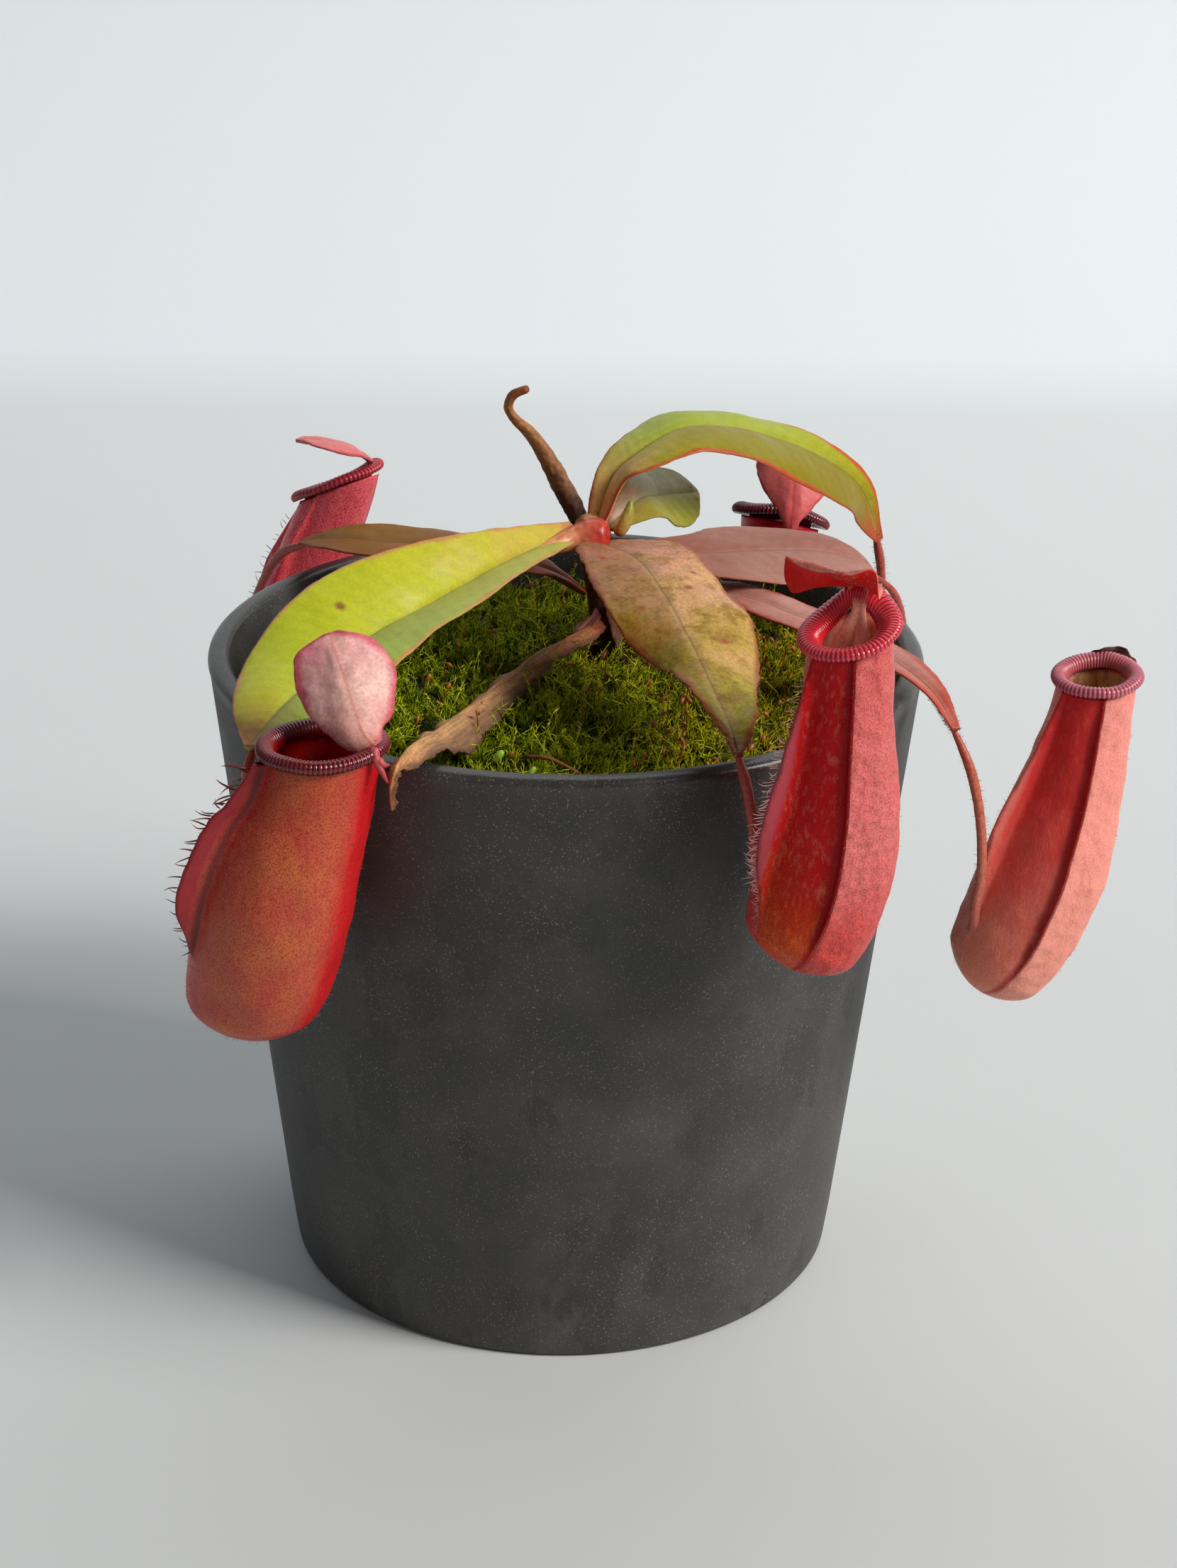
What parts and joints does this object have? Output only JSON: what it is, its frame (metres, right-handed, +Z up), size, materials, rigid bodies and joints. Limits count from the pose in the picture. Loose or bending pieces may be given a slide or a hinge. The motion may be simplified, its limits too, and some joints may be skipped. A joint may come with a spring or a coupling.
{
  "type": "potted pitcher plant",
  "caption": "Tropical pitcher plant in a tapered round pot, with moss, strap leaves, tendrils and hollow hanging pitchers, each with a ribbed lip and a lid.",
  "frame": {"origin": "centre of the pot's flat underside, on the surface that it stands on", "axes": "+Z up along the pot, -Y towards the side with the two largest pitchers, +X towards the low hanging pitcher"},
  "size_m": [0.1547, 0.1519, 0.1498],
  "materials": {
    "pot": "charcoal recycled-plastic composite with fine tan flecks, matt, lighter towards the foot",
    "potting_mix": "dark bark and peat potting mix",
    "root_ball": "fibrous brown roots",
    "moss": "living green moss with fine shoots",
    "stem": "red-brown glossy living stem",
    "dead_leaf": "dry tan and brown papery leaf",
    "green_leaf": "yellow-green leaf with a satin sheen and a thin orange edge",
    "bronze_leaf": "mauve to olive leaf with red tints, satin",
    "young_leaf": "olive young leaf, satin",
    "tendril": "red-pink tendril, satin",
    "pitcher": "coral to crimson pitcher skin, speckled, satin",
    "lip": "ribbed glossy dark-maroon lip",
    "lid": "pink lid with red midline, satin",
    "withered_lid": "withered dark-brown lid"
  },
  "bodies": {
    "root": {"pot": "pot", "potting_mix": "potting_mix", "root_ball": "root_ball", "moss_carpet": "moss", "stem": "stem", "dead_stalk": "dead_leaf", "growing_tip": "young_leaf", "dead_leaf": "dead_leaf", "leaf_arching_right": "green_leaf", "leaf_back_left": "bronze_leaf", "leaf_back_right": "bronze_leaf", "leaf_front_left": "green_leaf", "leaf_front_right": "bronze_leaf", "leaf_low_right": "bronze_leaf", "leaf_young": "young_leaf", "lid_back_left": "lid", "lid_back_right": "lid", "lid_front_left": "lid", "lid_front_right": "lid", "lid_low_right": "withered_lid", "lip_back_left": "lip", "lip_back_right": "lip", "lip_front_left": "lip", "lip_front_right": "lip", "lip_low_right": "lip", "pitcher_back_left": "pitcher", "pitcher_back_right": "pitcher", "pitcher_front_left": "pitcher", "pitcher_front_right": "pitcher", "pitcher_low_right": "pitcher", "tendril_arching_right": "tendril", "tendril_back_left": "tendril", "tendril_back_right": "tendril", "tendril_front_left": "tendril", "tendril_front_right": "tendril", "tendril_low_right": "tendril", "young_pitcher": "pitcher"}
  },
  "joints": []
}
